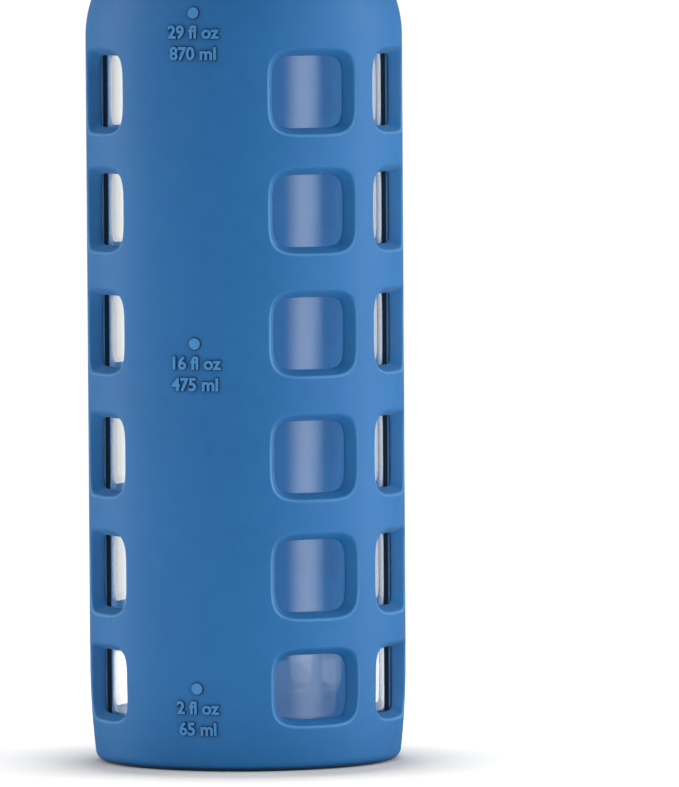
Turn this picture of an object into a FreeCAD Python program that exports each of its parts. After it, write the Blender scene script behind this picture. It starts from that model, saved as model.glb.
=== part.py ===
"""A 32 fl oz glass water bottle in a perforated silicone sleeve, with a screw lid and a swinging carry handle.

Frame: millimetres, +Z up, origin on the bottle's axis at the bottom of the sleeve, where it stands on a table.
The sleeve's plain level panel faces -Y. The handle swings about an axis along X.

Run in FreeCAD's Python. Each function builds one part, and each part is written to parts/NAME.step.
"""

import FreeCAD, Part

import math
import os

Vector = FreeCAD.Vector
UP = Vector(0, 0, 1)
ORIGIN = Vector(0, 0, 0)
TOUCHING = 1e-6            # lengths below this count as nothing

# --- Driving dimensions -------------------------------------------------------------------------------------

# Silicone sleeve
SLEEVE_R = 43.5            # outside radius of the straight wall
SLEEVE_WALL = 4.0
SLEEVE_FLOOR = 3.0         # thickness of the foot flange
FOOT_HOLE_R = 26.0         # hole in the foot that shows the glass
FOOT_R = 42.1              # outside radius where the foot's rounding ends
FOOT_CORNER = 3.0
FOOT_TAPER_TOP = 27.0      # height where the foot's taper reaches the straight wall
SLEEVE_OVER_SHOULDER = 17.0  # how far the sleeve climbs above the start of the shoulder
FIT_GAP = 0.1              # glass to sleeve

# Sleeve windows: rounded squares that flare outwards, in six columns and six rows
WINDOW_COLUMNS = (47, 92, 137, -47, -92, -137)  # degrees round from the middle of the level panel
ROW_HEIGHTS = (184.5, 152.2, 118.9, 85.3, 52.9, 22.6)
WINDOW_HALF_WIDTH = 10.7   # at the inside of the sleeve, like the other window sizes
WINDOW_HALF_HEIGHT = 9.8
LOWEST_HALF_HEIGHT = 8.8   # the lowest row is shorter
WINDOW_CORNER = 4.6
WIDTH_FLARE = 0.72         # growth of the half width per millimetre outwards
HEIGHT_FLARE = 0.44
CUT_INSIDE = 3.2           # how far a window's cutter reaches inside the wall
CUT_OUTSIDE = 1.0

# Level marks on the panel, at full, half and nearly empty: a raised dot over two raised bars, which stand in
# for the two lines of a volume label
MARK_HEIGHTS = (206.2, 116.5, 22.7)
MARKS_TURN = 2.0           # degrees round from the middle of the panel
DOT_R = 1.65
MARK_RAISE = 0.5
MARK_SINK = 0.6            # how far a mark's body reaches into the wall
BARS = ((5.1, 9.5), (10.9, 8.0))  # each bar's drop below the dot and half length
BAR_HALF_WIDTH = 0.8

# Glass bottle
GLASS_WALL = 2.0
GLASS_FLOOR = 4.5
HEEL_R = 8.0               # outside rounding between base and wall
INNER_HEEL_R = 7.0
PUNT_R = 26.0              # hollow in the underside
PUNT_DEPTH = 2.2
SHOULDER_Z = 199.3         # where the straight wall ends
SLEEVE_SHOULDER_R = 31.6   # shoulder arc, measured on the outside of the sleeve
NECK_R = 20.0
NECK_WALL = 2.8
NECK_FILLET = 4.0
BEAD_R = 22.4              # ring between the neck and the lid
BEAD_HALF = 1.2
BEAD_Z = 232.9
RIM_Z = 248.0
RIM_ROUND = 1.0

# Screw thread between glass and lid: two starts
THREAD_STARTS = 2
THREAD_LEAD = 12.0
THREAD_HEIGHT = 1.5
THREAD_ROOT_HALF = 1.2
THREAD_CREST_HALF = 0.6
GLASS_THREAD_Z = 237.2     # centre of each ridge where it starts
GLASS_THREAD_TURNS = 0.62
LID_THREAD_TURNS = 0.40
THREAD_FLANK_GAP = 0.25
THREAD_SINK = 0.4          # how far a ridge reaches into the wall that carries it
LID_THREAD_LEAD_IN = 60    # degrees round from the glass thread's start

# Lid
PART_GAP = 0.05            # between stacked parts of the lid
SEAL_INNER_R = 16.6
SEAL_OUTER_R = 21.9
SEAL_THICKNESS = 1.8
SEAL_ROUND = 0.5
INSERT_SHEET = 0.6
INSERT_FLANGE_R = 21.6
INSERT_PLUG_R = 15.6
INSERT_PLUG_DEPTH = 5.0
INSERT_BEND = 1.2          # inside radius of the pressed bends
CORE_INNER_R = 22.0
CORE_OUTER_R = 24.3
CORE_WEB = 2.0
CORE_BOTTOM_Z = 235.6
CORE_LIP_ROUND = 0.3
CORE_EDGE_ROUND = 0.8
SHELL_R = 26.5
SHELL_INNER_R = 24.35
SHELL_BOTTOM_Z = 235.0
SHELL_TOP_Z = 261.8
SHELL_ROOF = 2.2
SHELL_EDGE_ROUND = 2.5     # top outer edge
SHELL_ROOF_ROUND = 1.0     # inner corner under the roof
SHELL_LIP_ROUND = 0.5
SHELL_SKIRT_ROUND = 0.8    # outer edge at the bottom
FLUTE_COUNT = 40
FLUTE_R = 1.3
FLUTE_DEPTH = 0.6
FLUTE_ENDS = (237.4, 250.6)

# Handle and its pins
PIVOT_Z = 256.0
PIN_R = 1.5
PIN_INNER_END = 17.5
PIN_HEAD_R = 3.0
PIN_HEAD = 1.1
BOSS_HALF_WIDTH = 4.5
BOSS_INNER_X = 16.4        # where each boss ends, measured from the axis
BOSS_OVERLAP = 1.0         # how far a boss reaches into the wall and roof that carry it
PIN_HEAD_ROUND = 0.5
EYE_CLEARANCE = 0.08
HEAD_CLEARANCE = 0.15
HANDLE_INNER_R = 27.0
HANDLE_THICK = 3.8
HANDLE_HALF_WIDTH = 6.0
HANDLE_ARCH_RISE = 1.0     # arch centre above the pivot
HANDLE_EDGE_ROUND = 1.2

# --- Worked out from the above ---------------------------------------------------------------------------------

SLEEVE_INNER_R = SLEEVE_R - SLEEVE_WALL
GLASS_R = SLEEVE_INNER_R - FIT_GAP
GLASS_FOOT_Z = SLEEVE_FLOOR + FIT_GAP
SHOULDER_CENTRE_R = SLEEVE_R - SLEEVE_SHOULDER_R
GLASS_SHOULDER_R = GLASS_R - SHOULDER_CENTRE_R
SEAL_Z = RIM_Z + PART_GAP
INSERT_Z = SEAL_Z + SEAL_THICKNESS + PART_GAP
CORE_WEB_Z = INSERT_Z + INSERT_SHEET + PART_GAP
CORE_TOP_Z = CORE_WEB_Z + CORE_WEB
HANDLE_OUTER_R = HANDLE_INNER_R + HANDLE_THICK
PIN_HEAD_START = HANDLE_OUTER_R - PIN_HEAD


# --- Small helpers ----------------------------------------------------------------------------------------------

def point(r, z):
    """A point of a turned outline: radius and height, in the XZ plane."""
    return Vector(r, 0, z)


def line(a, b):
    return Part.LineSegment(a, b).toShape()


def arc_about(centre, radius, start_deg, end_deg):
    """An arc in the XZ plane. Angles run from +X towards +Z."""
    at = [math.radians(start_deg + (end_deg - start_deg) * t) for t in (0, 0.5, 1)]
    spots = [centre + Vector(radius * math.cos(a), 0, radius * math.sin(a)) for a in at]
    return Part.Arc(*spots).toShape()


def ends(edge):
    """First and last point of an edge, in its own direction."""
    return edge.valueAt(edge.FirstParameter), edge.valueAt(edge.LastParameter)


def closed_chain(edges):
    """Joins edges in order with straight lines where they don't already meet, and closes the loop."""
    chain = []
    for edge, following in zip(edges, edges[1:] + edges[:1]):
        chain.append(edge)
        gap_from, gap_to = ends(edge)[1], ends(following)[0]
        if gap_from.distanceToPoint(gap_to) > TOUCHING:
            chain.append(line(gap_from, gap_to))
    return Part.Wire(chain)


def turned(edges):
    """The solid of revolution about Z of a closed outline."""
    return Part.Face(closed_chain(edges)).revolve(ORIGIN, UP, 360)


def rounded_corners(corners):
    """Edges of a closed outline in the XZ plane from (r, z, rounding) corners."""
    edges = []
    count = len(corners)
    for i, (r, z, rounding) in enumerate(corners):
        here = point(r, z)
        if rounding == 0:
            edges.append(line(here, point(*corners[(i + 1) % count][:2])))
            continue
        back = (point(*corners[i - 1][:2]) - here).normalize()
        ahead = (point(*corners[(i + 1) % count][:2]) - here).normalize()
        half = back.getAngle(ahead) / 2
        reach = rounding / math.tan(half)
        bisector = (back + ahead).normalize()
        centre = here + bisector * (rounding / math.sin(half))
        middle = centre - bisector * rounding
        edges.append(Part.Arc(here + back * reach, middle, here + ahead * reach).toShape())
    return trimmed(edges)


def trimmed(edges):
    """Shortens each straight edge so that it ends where the next rounding begins."""
    result = []
    for edge, following in zip(edges, edges[1:] + edges[:1]):
        start, end = ends(edge)
        if isinstance(edge.Curve, Part.Line):
            end = ends(following)[0]
            if start.distanceToPoint(end) > TOUCHING:
                result.append(line(start, end))
        else:
            result.append(edge)
    return result


def shoulder_arcs(shoulder_r, neck_r, fillet):
    """The shoulder arc and the hollow fillet that leads it into a vertical neck, tangent to each other."""
    centre = point(SHOULDER_CENTRE_R, SHOULDER_Z)
    across = neck_r + fillet - SHOULDER_CENTRE_R
    rise = math.sqrt((shoulder_r + fillet) ** 2 - across**2)
    touch_deg = math.degrees(math.atan2(rise, across))
    fillet_centre = centre + Vector(across, 0, rise)
    shoulder = arc_about(centre, shoulder_r, 0, touch_deg)
    hollow = arc_about(fillet_centre, fillet, touch_deg + 180, 180)
    return shoulder, hollow


def thread_ridge(wall_r, crest_r, start_z, turns, start_deg):
    """One right-hand helical ridge standing on a wall of radius wall_r, with its crest at crest_r."""
    outwards = 1 if crest_r > wall_r else -1
    root_r = wall_r - outwards * THREAD_SINK
    slope = (THREAD_ROOT_HALF - THREAD_CREST_HALF) / THREAD_HEIGHT
    root_half = THREAD_ROOT_HALF + slope * THREAD_SINK
    section = Part.makePolygon([
        point(root_r, -root_half),
        point(crest_r, -THREAD_CREST_HALF),
        point(crest_r, THREAD_CREST_HALF),
        point(root_r, root_half),
        point(root_r, -root_half),
    ])
    helix = Part.makeHelix(THREAD_LEAD, THREAD_LEAD * turns, wall_r)
    ridge = Part.Wire(helix.Edges).makePipeShell([section], True, True)
    ridge.rotate(ORIGIN, UP, start_deg)
    ridge.translate(Vector(0, 0, start_z))
    return ridge


def thread_ridges(wall_r, crest_r, start_z, turns, start_deg):
    """All the starts of a thread, evenly spaced round the axis."""
    step = 360 / THREAD_STARTS
    return [thread_ridge(wall_r, crest_r, start_z, turns, start_deg + step * n) for n in range(THREAD_STARTS)]


def facing(shape, degrees):
    """Turns a shape built along +X so that it faces the given angle round from the level panel (-Y)."""
    turned_shape = shape.copy()
    turned_shape.rotate(ORIGIN, UP, degrees - 90)
    return turned_shape


# --- Sleeve -----------------------------------------------------------------------------------------------------

def window_wire(depth, half_height):
    """The window's rounded rectangle in the plane x = depth."""
    side_depth = math.sqrt(SLEEVE_INNER_R**2 - WINDOW_HALF_WIDTH**2)
    half_w = WINDOW_HALF_WIDTH + WIDTH_FLARE * (depth - side_depth)
    half_h = half_height + HEIGHT_FLARE * (depth - SLEEVE_INNER_R)
    corner = WINDOW_CORNER + HEIGHT_FLARE * (depth - SLEEVE_INNER_R)
    corners = []
    for y_sign, z_sign, first_deg in ((1, 1, 0), (-1, 1, 90), (-1, -1, 180), (1, -1, 270)):
        centre = Vector(depth, y_sign * (half_w - corner), z_sign * (half_h - corner))
        at = [math.radians(first_deg + turn) for turn in (0, 45, 90)]
        corners.append([centre + Vector(0, corner * math.cos(a), corner * math.sin(a)) for a in at])
    chain = []
    for spots, following in zip(corners, corners[1:] + corners[:1]):
        chain.append(Part.Arc(*spots).toShape())
        chain.append(line(spots[2], following[0]))
    return Part.Wire(chain)


def window_cutter(half_height):
    """A flaring plug that cuts one window through the wall at +X."""
    inside = SLEEVE_INNER_R - CUT_INSIDE
    outside = SLEEVE_R + CUT_OUTSIDE
    return Part.makeLoft([window_wire(inside, half_height), window_wire(outside, half_height)], True, True)


def raised_dot(height):
    """A raised round dot on the wall or shoulder at +X, square to the surface."""
    climb = math.asin(max(0.0, height - SHOULDER_Z) / SLEEVE_SHOULDER_R)
    outwards = Vector(math.cos(climb), 0, math.sin(climb))
    foot_r = SHOULDER_CENTRE_R + (SLEEVE_SHOULDER_R - MARK_SINK) * math.cos(climb)
    return Part.makeCylinder(DOT_R, MARK_SINK + MARK_RAISE, point(foot_r, height), outwards)


def raised_bar(height, half_length):
    """A raised bar that follows the sleeve's round wall at +X."""
    half_deg = math.degrees(half_length / SLEEVE_R)
    inside = SLEEVE_R - MARK_SINK
    outside = SLEEVE_R + MARK_RAISE
    face = Part.Face(Part.makePolygon([
        point(inside, height - BAR_HALF_WIDTH),
        point(outside, height - BAR_HALF_WIDTH),
        point(outside, height + BAR_HALF_WIDTH),
        point(inside, height + BAR_HALF_WIDTH),
        point(inside, height - BAR_HALF_WIDTH),
    ]))
    face.rotate(ORIGIN, UP, -half_deg)
    return face.revolve(ORIGIN, UP, 2 * half_deg)


def level_mark(height):
    """A raised dot over two raised bars."""
    return [raised_dot(height)] + [raised_bar(height - drop, half_length) for drop, half_length in BARS]


def sleeve_blank():
    """The sleeve without windows or marks: foot, straight wall and the part that hugs the shoulder."""
    taper_rise = FOOT_TAPER_TOP - FOOT_CORNER
    inset = SLEEVE_R - FOOT_R
    taper_r = (taper_rise**2 + inset**2) / (2 * inset)
    taper_centre = point(SLEEVE_R - taper_r, FOOT_TAPER_TOP)
    taper_deg = math.degrees(math.asin(taper_rise / taper_r))
    shoulder_centre = point(SHOULDER_CENTRE_R, SHOULDER_Z)
    lip_deg = math.degrees(math.asin(SLEEVE_OVER_SHOULDER / SLEEVE_SHOULDER_R))
    inner_shoulder_r = SLEEVE_SHOULDER_R - SLEEVE_WALL
    lip_centre_r = (SLEEVE_SHOULDER_R + inner_shoulder_r) / 2
    lip_away = Vector(math.cos(math.radians(lip_deg)), 0, math.sin(math.radians(lip_deg)))
    blank = turned([
        line(point(FOOT_HOLE_R, SLEEVE_FLOOR), point(FOOT_HOLE_R, 0)),
        arc_about(point(FOOT_R - FOOT_CORNER, FOOT_CORNER), FOOT_CORNER, -90, 0),
        arc_about(taper_centre, taper_r, -taper_deg, 0),
        arc_about(shoulder_centre, SLEEVE_SHOULDER_R, 0, lip_deg),
        arc_about(shoulder_centre + lip_away * lip_centre_r, SLEEVE_WALL / 2, lip_deg, lip_deg + 180),
        arc_about(shoulder_centre, inner_shoulder_r, lip_deg, 0),
        arc_about(point(SLEEVE_INNER_R - HEEL_R, SLEEVE_FLOOR + HEEL_R), HEEL_R, 0, -90),
    ])
    blank.rotate(ORIGIN, UP, 90)
    return blank


def silicone_sleeve():
    """The perforated boot, cut one column of windows at a time."""
    sleeve = sleeve_blank()
    for column in WINDOW_COLUMNS:
        plugs = []
        for height in ROW_HEIGHTS:
            lowest = height == min(ROW_HEIGHTS)
            plug = window_cutter(LOWEST_HALF_HEIGHT if lowest else WINDOW_HALF_HEIGHT)
            plug.translate(Vector(0, 0, height))
            plugs.append(facing(plug, column))
        sleeve = sleeve.cut(plugs)
    marks = [facing(shape, MARKS_TURN) for height in MARK_HEIGHTS for shape in level_mark(height)]
    return sleeve.fuse(marks)


# --- Bottle -----------------------------------------------------------------------------------------------------

def glass_bottle():
    """The turned glass body with its punt, shoulder, neck bead and rim, and the thread ridges on the neck."""
    shoulder, hollow = shoulder_arcs(GLASS_SHOULDER_R, NECK_R, NECK_FILLET)
    bore_r = NECK_R - NECK_WALL
    inner_shoulder, inner_hollow = shoulder_arcs(
        GLASS_SHOULDER_R - GLASS_WALL, bore_r, NECK_FILLET + GLASS_WALL)
    bead_r = BEAD_R - BEAD_HALF
    bead_low = BEAD_Z - BEAD_HALF
    bead_high = BEAD_Z + BEAD_HALF
    floor_z = GLASS_FOOT_Z + GLASS_FLOOR
    inner_heel = point(GLASS_R - GLASS_WALL - INNER_HEEL_R, floor_z + INNER_HEEL_R)
    punt_r = (PUNT_R**2 + PUNT_DEPTH**2) / (2 * PUNT_DEPTH)
    punt_deg = math.degrees(math.asin(PUNT_R / punt_r))
    punt_centre = point(0, GLASS_FOOT_Z + PUNT_DEPTH - punt_r)
    round_z = RIM_Z - RIM_ROUND
    body = turned([
        arc_about(punt_centre, punt_r, 90, 90 - punt_deg),
        arc_about(point(GLASS_R - HEEL_R, GLASS_FOOT_Z + HEEL_R), HEEL_R, -90, 0),
        shoulder,
        hollow,
        line(point(NECK_R, bead_low), point(bead_r, bead_low)),
        arc_about(point(bead_r, BEAD_Z), BEAD_HALF, -90, 90),
        line(point(bead_r, bead_high), point(NECK_R, bead_high)),
        arc_about(point(NECK_R - RIM_ROUND, round_z), RIM_ROUND, 0, 90),
        arc_about(point(bore_r + RIM_ROUND, round_z), RIM_ROUND, 90, 180),
        reversed_arc(inner_hollow),
        reversed_arc(inner_shoulder),
        arc_about(inner_heel, INNER_HEEL_R, 0, -90),
        line(point(0, floor_z), point(0, GLASS_FOOT_Z + PUNT_DEPTH)),
    ])
    ridges = thread_ridges(NECK_R, NECK_R + THREAD_HEIGHT, GLASS_THREAD_Z, GLASS_THREAD_TURNS, 0)
    return body.fuse(ridges)


def reversed_arc(edge):
    """The same arc, drawn from its last point to its first."""
    first, last = edge.FirstParameter, edge.LastParameter
    spots = [edge.valueAt(last + (first - last) * t) for t in (0, 0.5, 1)]
    return Part.Arc(*spots).toShape()


# --- Lid ----------------------------------------------------------------------------------------------------------

def lid_seal():
    """A flat silicone ring with rounded edges, squeezed between the glass rim and the steel insert."""
    top = SEAL_Z + SEAL_THICKNESS
    return turned(rounded_corners([
        (SEAL_INNER_R, SEAL_Z, SEAL_ROUND),
        (SEAL_OUTER_R, SEAL_Z, SEAL_ROUND),
        (SEAL_OUTER_R, top, SEAL_ROUND),
        (SEAL_INNER_R, top, SEAL_ROUND),
    ]))


def steel_insert():
    """A pressed steel liner: a flange over the seal and a shallow cup that fills the mouth."""
    top = INSERT_Z + INSERT_SHEET
    cup_floor = top - INSERT_PLUG_DEPTH
    outer_bend = INSERT_BEND + INSERT_SHEET
    return turned(rounded_corners([
        (0, cup_floor, 0),
        (0, cup_floor - INSERT_SHEET, 0),
        (INSERT_PLUG_R, cup_floor - INSERT_SHEET, outer_bend),
        (INSERT_PLUG_R, INSERT_Z, INSERT_BEND),
        (INSERT_FLANGE_R, INSERT_Z, 0),
        (INSERT_FLANGE_R, top, 0),
        (INSERT_PLUG_R - INSERT_SHEET, top, outer_bend),
        (INSERT_PLUG_R - INSERT_SHEET, cup_floor, INSERT_BEND),
    ]))


def lid_core():
    """The threaded cup inside the lid, which turns on the glass thread and presses the insert and seal down."""
    body = turned(rounded_corners([
        (0, CORE_WEB_Z, 0),
        (CORE_INNER_R, CORE_WEB_Z, 0),
        (CORE_INNER_R, CORE_BOTTOM_Z, CORE_LIP_ROUND),
        (CORE_OUTER_R, CORE_BOTTOM_Z, CORE_LIP_ROUND),
        (CORE_OUTER_R, CORE_TOP_Z, CORE_EDGE_ROUND),
        (0, CORE_TOP_Z, 0),
    ]))
    slope = (THREAD_ROOT_HALF - THREAD_CREST_HALF) / THREAD_HEIGHT
    touching_drop = 2 * THREAD_ROOT_HALF - slope * (CORE_INNER_R - NECK_R)
    climb = THREAD_LEAD * LID_THREAD_LEAD_IN / 360
    start_z = GLASS_THREAD_Z + climb - touching_drop - THREAD_FLANK_GAP
    ridges = thread_ridges(
        CORE_INNER_R, CORE_INNER_R - THREAD_HEIGHT, start_z, LID_THREAD_TURNS, LID_THREAD_LEAD_IN)
    return body.fuse(ridges)


def pin_bosses(roof_z):
    """The two blocks inside the shell that hold the pins, hanging from the roof and joined to the wall."""
    floor_z = CORE_TOP_Z + PART_GAP
    length = SHELL_INNER_R + BOSS_OVERLAP - BOSS_INNER_X
    height = roof_z + BOSS_OVERLAP - floor_z
    boss = Part.makeBox(length, 2 * BOSS_HALF_WIDTH, height, Vector(BOSS_INNER_X, -BOSS_HALF_WIDTH, floor_z))
    return [boss, boss.mirror(ORIGIN, Vector(1, 0, 0))]


def grip_flutes():
    """Upright round-bottomed grooves all round the lid's side."""
    low, high = FLUTE_ENDS
    flutes = []
    for n in range(FLUTE_COUNT):
        flute = Part.makeCylinder(FLUTE_R, high - low, point(SHELL_R + FLUTE_R - FLUTE_DEPTH, low), UP)
        flute.rotate(ORIGIN, UP, (n + 0.5) * 360 / FLUTE_COUNT)
        flutes.append(flute)
    return flutes


def lid_shell():
    """The outer cover: a fluted cup with two inner bosses that hold the handle's pins."""
    roof_z = SHELL_TOP_Z - SHELL_ROOF
    cup = turned(rounded_corners([
        (0, roof_z, 0),
        (SHELL_INNER_R, roof_z, SHELL_ROOF_ROUND),
        (SHELL_INNER_R, SHELL_BOTTOM_Z, SHELL_LIP_ROUND),
        (SHELL_R, SHELL_BOTTOM_Z, SHELL_SKIRT_ROUND),
        (SHELL_R, SHELL_TOP_Z, SHELL_EDGE_ROUND),
        (0, SHELL_TOP_Z, 0),
    ]))
    shanks = [pin_cylinder(side, PIN_R, PIN_INNER_END, PIN_HEAD_START) for side in (1, -1)]
    return cup.fuse(pin_bosses(roof_z)).cut(grip_flutes()).cut(shanks)


def pin_cylinder(side, radius, start, end):
    """A cylinder on the handle's axis, on the +X (side 1) or -X (side -1) side of the lid."""
    return Part.makeCylinder(radius, end - start, point(side * start, PIVOT_Z), Vector(side, 0, 0))


def pivot_pin(side):
    """A steel pin with a flat round head that sits in the handle's counterbore."""
    head = pin_cylinder(side, PIN_HEAD_R, PIN_HEAD_START, HANDLE_OUTER_R)
    rim = [edge for edge in head.Edges if abs(abs(edge.CenterOfMass.x) - HANDLE_OUTER_R) < TOUCHING]
    head = head.makeFillet(PIN_HEAD_ROUND, rim)
    return head.fuse(pin_cylinder(side, PIN_R, PIN_INNER_END, PIN_HEAD_START))


def left_pivot_pin():
    return pivot_pin(-1)


def right_pivot_pin():
    return pivot_pin(1)


def carry_handle():
    """A round arch over the lid, with a flat eye at each end that turns on a pin."""
    centre = point(0, PIVOT_Z + HANDLE_ARCH_RISE)
    face = Part.Face(closed_chain([
        arc_about(centre, HANDLE_OUTER_R, 0, 180),
        line(point(-HANDLE_OUTER_R, PIVOT_Z), point(-HANDLE_INNER_R, PIVOT_Z)),
        arc_about(centre, HANDLE_INNER_R, 180, 0),
        line(point(HANDLE_INNER_R, PIVOT_Z), point(HANDLE_OUTER_R, PIVOT_Z)),
    ]))
    face.translate(Vector(0, -HANDLE_HALF_WIDTH, 0))
    strap = face.extrude(Vector(0, 2 * HANDLE_HALF_WIDTH, 0))
    strap_rims = [edge for edge in strap.Edges if edge.BoundBox.ZLength > TOUCHING]
    strap = strap.makeFillet(HANDLE_EDGE_ROUND, strap_rims)
    eyes = []
    for side in (1, -1):
        eye = pin_cylinder(side, HANDLE_HALF_WIDTH, HANDLE_INNER_R, HANDLE_OUTER_R)
        eye_rims = [edge for edge in eye.Edges if edge.BoundBox.XLength < TOUCHING]
        eyes.append(eye.makeFillet(HANDLE_EDGE_ROUND, eye_rims))
    body = strap.fuse(eyes)
    holes = []
    for side in (1, -1):
        holes.append(pin_cylinder(side, PIN_R + EYE_CLEARANCE, SHELL_R, HANDLE_OUTER_R))
        holes.append(pin_cylinder(
            side, PIN_HEAD_R + HEAD_CLEARANCE, PIN_HEAD_START - EYE_CLEARANCE, HANDLE_OUTER_R))
    return body.cut(holes)


# --- Write the parts ------------------------------------------------------------------------------------------

PARTS = (
    silicone_sleeve,
    glass_bottle,
    lid_seal,
    steel_insert,
    lid_core,
    lid_shell,
    left_pivot_pin,
    right_pivot_pin,
    carry_handle,
)


def main():
    os.makedirs("parts", exist_ok=True)
    for build in PARTS:
        name = build.__name__
        shape = build()
        state = "valid" if shape.isValid() else "INVALID"
        print(name, state, len(shape.Solids), "solid(s)", round(shape.Volume), "mm3")
        shape.exportStep(os.path.join("parts", name + ".step"))


main()
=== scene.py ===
import math

import bmesh
import bpy
from mathutils import Matrix, Vector


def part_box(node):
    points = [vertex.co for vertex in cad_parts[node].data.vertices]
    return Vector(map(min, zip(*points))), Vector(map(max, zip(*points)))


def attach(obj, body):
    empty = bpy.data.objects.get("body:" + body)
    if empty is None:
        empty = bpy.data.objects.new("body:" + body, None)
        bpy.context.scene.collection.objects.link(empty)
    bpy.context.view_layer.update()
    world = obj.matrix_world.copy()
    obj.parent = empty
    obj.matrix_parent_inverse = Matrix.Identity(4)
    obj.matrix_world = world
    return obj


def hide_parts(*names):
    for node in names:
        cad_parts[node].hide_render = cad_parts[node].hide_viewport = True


# Looks for a glass water bottle in a pierced silicone sleeve, with a screw lid and a carry handle.
# Everything is in metres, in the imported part's frame: +Z up, the sleeve's level panel facing -Y.

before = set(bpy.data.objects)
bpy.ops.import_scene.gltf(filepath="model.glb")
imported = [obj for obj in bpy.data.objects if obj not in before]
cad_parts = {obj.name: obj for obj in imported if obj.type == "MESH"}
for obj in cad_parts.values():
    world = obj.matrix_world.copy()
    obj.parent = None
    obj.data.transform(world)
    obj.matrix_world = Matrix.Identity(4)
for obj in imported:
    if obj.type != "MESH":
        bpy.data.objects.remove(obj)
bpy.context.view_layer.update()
MM = 0.001
MERGE_DISTANCE = 0.002 * MM    # mesh points nearer to each other than this become one

# --- Sizes from the frame -------------------------------------------------------------------------

SLEEVE_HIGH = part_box("silicone_sleeve")[1]
GLASS_LOW, GLASS_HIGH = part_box("glass_bottle")
SHELL_LOW, SHELL_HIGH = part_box("lid_shell")
CORE_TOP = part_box("lid_core")[1].z

SLEEVE_R = SLEEVE_HIGH.y
GLASS_R = GLASS_HIGH.x
RIM_Z = GLASS_HIGH.z

# --- Sleeve sizes that its box doesn't show -------------------------------------------------------

SLEEVE_WALL = 4.0 * MM
SLEEVE_FLOOR = 3.0 * MM
FOOT_HOLE_R = 26.0 * MM
FOOT_HOLE_ROUND = 0.8 * MM
FOOT_R = 42.1 * MM
FOOT_CORNER = 3.0 * MM
FOOT_TAPER_TOP = 27.0 * MM
HEEL_R = 8.0 * MM
SHOULDER_Z = 199.3 * MM
SHOULDER_R = 31.6 * MM
SLEEVE_OVER_SHOULDER = 17.0 * MM
SHOULDER_CENTRE_R = SLEEVE_R - SHOULDER_R
SLEEVE_INNER_R = SLEEVE_R - SLEEVE_WALL
TAPER_CURVE = (FOOT_TAPER_TOP - FOOT_CORNER) ** 2 / (2 * (SLEEVE_R - FOOT_R))

WINDOW_COLUMNS = (47, 92, 137, -137, -92, -47)  # degrees round from the middle of the level panel
COLUMN_HALF_DEG = 22.5         # half of the strip of sleeve that each column of windows takes up
ROW_HEIGHTS = [z * MM for z in (184.5, 152.2, 118.9, 85.3, 52.9, 22.6)]
CELLS_BOTTOM = 8.0 * MM
WINDOW_HALF_ANGLE = math.radians(15.6)      # at the inner edge
WINDOW_HALF_HEIGHT = 9.8 * MM
LOWEST_HALF_HEIGHT = 8.8 * MM
FLARE = 2.0 * MM               # how far the sloping wall spreads between the inside and the outside
ANGLE_PER_FLARE = math.radians(1.9) / FLARE
HEIGHT_PER_FLARE = 1.75 / 2.0
LIP_R = 1.5 * MM               # rounding of the window's outer edge
SQUARENESS_INNER = 5.0         # superellipse exponents
SQUARENESS_OUTER = 4.1
STEPS_ACROSS = 24              # mesh steps along a cell's horizontal and upright sides
STEPS_UP = 20
RING_STEPS = 4                 # mesh rings between a window's lip and its cell's border
LIP_STEPS = 5                  # mesh steps round the lip
WALL_RINGS = (0.35, 0.7, 0.92)                  # where rings cross the sloping wall, as shares of the way in
INNER_EDGE = ((0.02, 0.975), (0.06, 1.0))       # the inner edge's rounding, as spread in FLAREs and depth
SHOULDER_STEPS = 14            # mesh steps over the sleeve's shoulder
ROUND_STEPS = 10               # mesh steps in most rounded stretches of an outline


# --- Mesh helpers ---------------------------------------------------------------------------------

def make_object(name, points, faces, material, smooth=True):
    """A mesh object whose doubled points are merged and whose faces all look outwards."""
    mesh = bpy.data.meshes.new(name)
    mesh.from_pydata([tuple(p) for p in points], [], faces)
    work = bmesh.new()
    work.from_mesh(mesh)
    bmesh.ops.remove_doubles(work, verts=work.verts, dist=MERGE_DISTANCE)
    bmesh.ops.recalc_face_normals(work, faces=work.faces)
    for face in work.faces:
        face.smooth = smooth
    work.to_mesh(mesh)
    work.free()
    mesh.materials.append(material)
    piece = bpy.data.objects.new(name, mesh)
    bpy.context.scene.collection.objects.link(piece)
    return piece


def on_wall(radius, angle, z):
    """A point by radius, angle round from the level panel (-Y) and height."""
    return (radius * math.sin(angle), -radius * math.cos(angle), z)


def arc(centre_r, centre_z, radius, start_deg, end_deg, steps):
    """Outline points (r, z) on an arc; angles run from outwards towards up."""
    turn = [math.radians(start_deg + (end_deg - start_deg) * i / steps) for i in range(steps + 1)]
    return [(centre_r + radius * math.cos(a), centre_z + radius * math.sin(a)) for a in turn]


def split_line(a, b, steps):
    """Outline points from a to b, without b."""
    return [(a[0] + (b[0] - a[0]) * i / steps, a[1] + (b[1] - a[1]) * i / steps) for i in range(steps)]


def ring_faces(rings, count):
    """Faces between closed rings of points, each ring with the same count."""
    faces = []
    for i in range(rings - 1):
        for k in range(count):
            following = (k + 1) % count
            faces.append((i * count + k, i * count + following,
                          (i + 1) * count + following, (i + 1) * count + k))
    return faces


def even_angles(steps):
    return [2 * math.pi * k / steps for k in range(steps)]


def lathe_mesh(outline, angles, radius_at=None):
    """Points and faces of an outline turned about Z. radius_at(r, z, angle, index) may shape the radius."""
    points = []
    for i, (r, z) in enumerate(outline):
        for angle in angles:
            radius = radius_at(r, z, angle, i) if radius_at else r
            points.append(on_wall(radius, angle, z))
    return points, ring_faces(len(outline), len(angles))


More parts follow.
